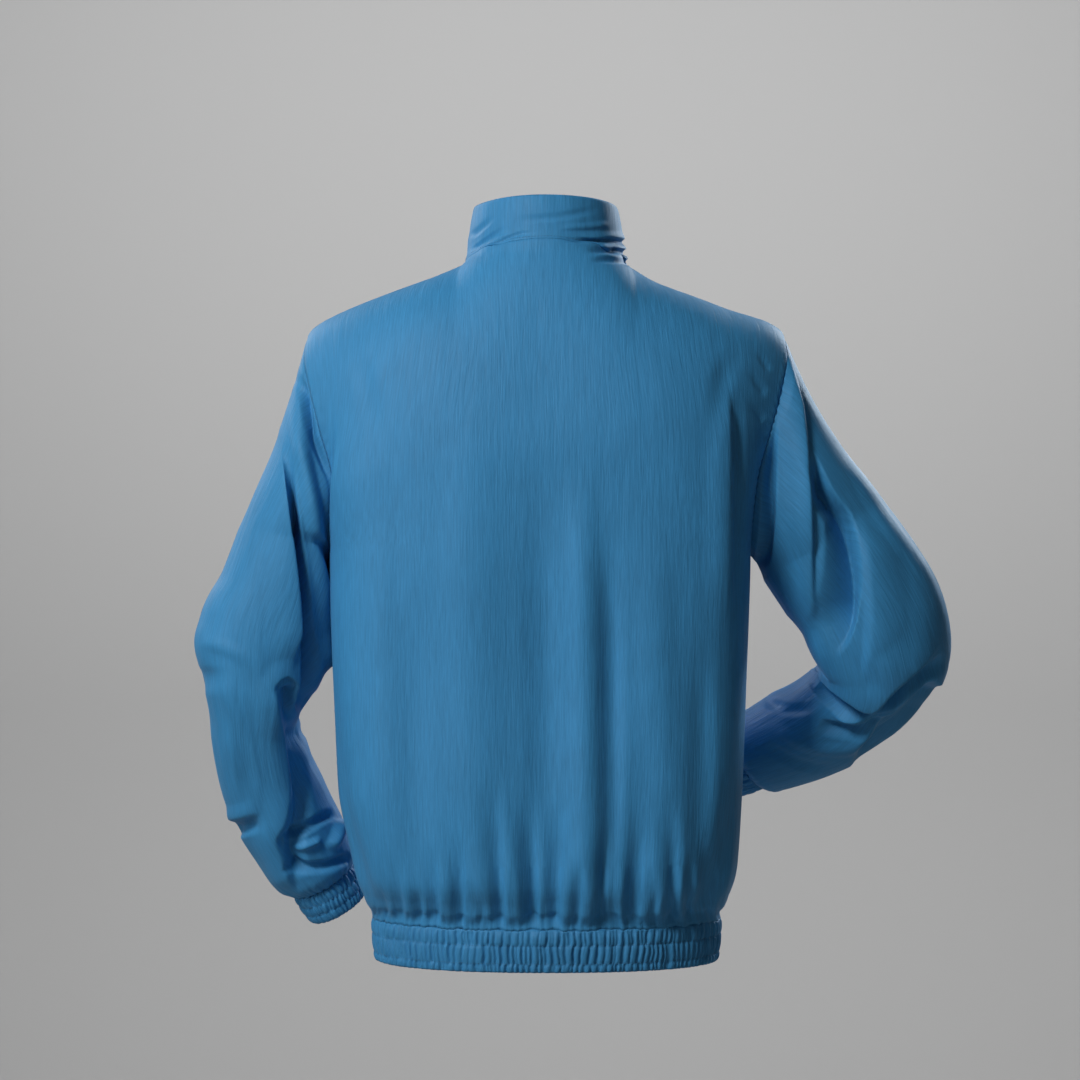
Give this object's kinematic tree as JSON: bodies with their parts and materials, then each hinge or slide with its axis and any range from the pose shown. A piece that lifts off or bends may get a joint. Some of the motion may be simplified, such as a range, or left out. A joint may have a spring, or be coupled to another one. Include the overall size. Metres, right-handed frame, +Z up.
{
  "type": "windbreaker jacket",
  "caption": "Hip-length zip jacket with a stand collar, set-in sleeves, a gathered elastic hem band and elastic cuffs, held as worn with one arm bent forward.",
  "frame": {"origin": "middle of the neck, level with the back collar seam", "axes": "+Z up, -Y the way the front faces, +X towards the wearer's left"},
  "size_m": [0.7527, 0.3083, 0.7546],
  "materials": {
    "shell_cloth": "thin woven shell cloth, mid blue, soft sheen, fine lengthwise crinkle",
    "elastic_band": "the same blue cloth shirred over elastic in fine upright gathers",
    "zip_tape": "woven tape, blue, matte",
    "zip_teeth": "moulded plastic teeth, blue",
    "zip_metal": "painted metal, blue, slightly glossy"
  },
  "bodies": {
    "jacket": {"back_panel": "shell_cloth", "front_left": "shell_cloth", "front_right": "shell_cloth", "sleeve_left": "shell_cloth", "sleeve_right": "shell_cloth", "collar": "shell_cloth", "hem_band": "elastic_band", "cuff_left": "elastic_band", "cuff_right": "elastic_band", "zip_tape_left": "zip_tape", "zip_tape_right": "zip_tape", "zip_chain": "zip_teeth", "zip_slider": "zip_metal"},
    "pull": {"zip_pull": "zip_metal"}
  },
  "joints": [
    {"name": "pull_swing", "type": "hinge", "parent": "jacket", "child": "pull", "pos_m": [0, -0.08176, 0.00166], "axis": [-1, 0, 0], "range_deg": [0, 165]}
  ]
}
